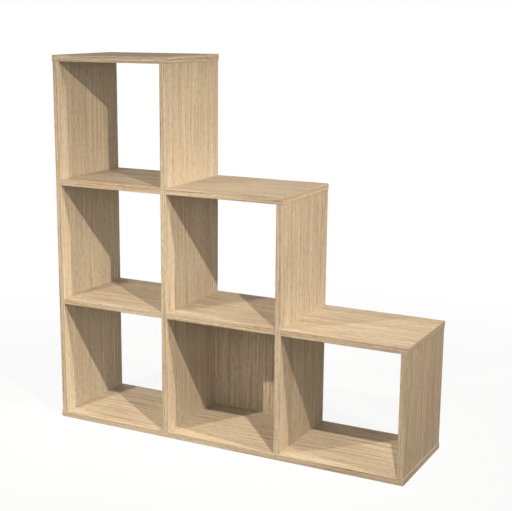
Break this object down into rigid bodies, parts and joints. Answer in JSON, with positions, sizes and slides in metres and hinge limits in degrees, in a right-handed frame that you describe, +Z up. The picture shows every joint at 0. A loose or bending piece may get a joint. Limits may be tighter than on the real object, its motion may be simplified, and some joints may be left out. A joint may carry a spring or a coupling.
{
  "type": "staircase bookshelf",
  "caption": "Stepped cube bookshelf in light oak veneer, with square compartments open front and back, and a back panel in the lower middle one.",
  "frame": {"origin": "on the floor, at mid-width and mid-depth of the base", "axes": "+Z up, +X towards the low end of the stair, -Y towards the front"},
  "size_m": [1.077, 0.3, 1.074],
  "materials": {
    "oak_veneer": "light oak veneer on chipboard, matt lacquer",
    "beech": "bare turned beech",
    "cast_zinc": "dull die-cast zinc",
    "plated_steel": "zinc-plated steel"
  },
  "bodies": {
    "root": {"base_panel": "oak_veneer", "left_side": "oak_veneer", "left_divider": "oak_veneer", "right_divider": "oak_veneer", "right_side": "oak_veneer", "top_panel": "oak_veneer", "middle_step_top": "oak_veneer", "lower_step_top": "oak_veneer", "lower_left_shelf": "oak_veneer", "upper_left_shelf": "oak_veneer", "lower_middle_shelf": "oak_veneer", "back_panel": "oak_veneer", "base_screw_left_divider_front": "plated_steel", "base_screw_left_divider_rear": "plated_steel", "base_screw_left_side_front": "plated_steel", "base_screw_left_side_rear": "plated_steel", "base_screw_right_divider_front": "plated_steel", "base_screw_right_divider_rear": "plated_steel", "base_screw_right_side_front": "plated_steel", "base_screw_right_side_rear": "plated_steel", "cam_bolt_lower_left_shelf_on_left_side": "plated_steel", "cam_bolt_lower_step_on_right_side": "plated_steel", "cam_bolt_middle_step_on_right_divider": "plated_steel", "cam_bolt_top_on_left_divider": "plated_steel", "cam_bolt_top_on_left_side": "plated_steel", "cam_bolt_upper_left_shelf_on_left_side": "plated_steel", "cam_cover_left_side": "oak_veneer", "cam_left_divider_high_left": "cast_zinc", "cam_left_divider_high_right": "cast_zinc", "cam_left_divider_low_left": "cast_zinc", "cam_left_divider_low_right": "cast_zinc", "cam_lower_left_shelf_on_left_side": "cast_zinc", "cam_lower_step_on_right_side": "cast_zinc", "cam_middle_step_on_right_divider": "cast_zinc", "cam_right_divider_low_left": "cast_zinc", "cam_right_divider_low_right": "cast_zinc", "cam_top_on_left_divider": "cast_zinc", "cam_top_on_left_side": "cast_zinc", "cam_upper_left_shelf_on_left_side": "cast_zinc", "double_cam_bolt_left_divider_high": "plated_steel", "double_cam_bolt_left_divider_low": "plated_steel", "double_cam_bolt_right_divider_low": "plated_steel", "dowel_left_divider_high_front": "beech", "dowel_left_divider_high_rear": "beech", "dowel_left_divider_low_front": "beech", "dowel_left_divider_low_rear": "beech", "dowel_lower_left_shelf_on_left_side_front": "beech", "dowel_lower_left_shelf_on_left_side_rear": "beech", "dowel_lower_step_on_right_side_front": "beech", "dowel_lower_step_on_right_side_rear": "beech", "dowel_middle_step_on_right_divider_front": "beech", "dowel_middle_step_on_right_divider_rear": "beech", "dowel_right_divider_low_front": "beech", "dowel_right_divider_low_rear": "beech", "dowel_top_on_left_divider_front": "beech", "dowel_top_on_left_divider_rear": "beech", "dowel_top_on_left_side_front": "beech", "dowel_top_on_left_side_rear": "beech", "dowel_upper_left_shelf_on_left_side_front": "beech", "dowel_upper_left_shelf_on_left_side_rear": "beech"}
  },
  "joints": []
}
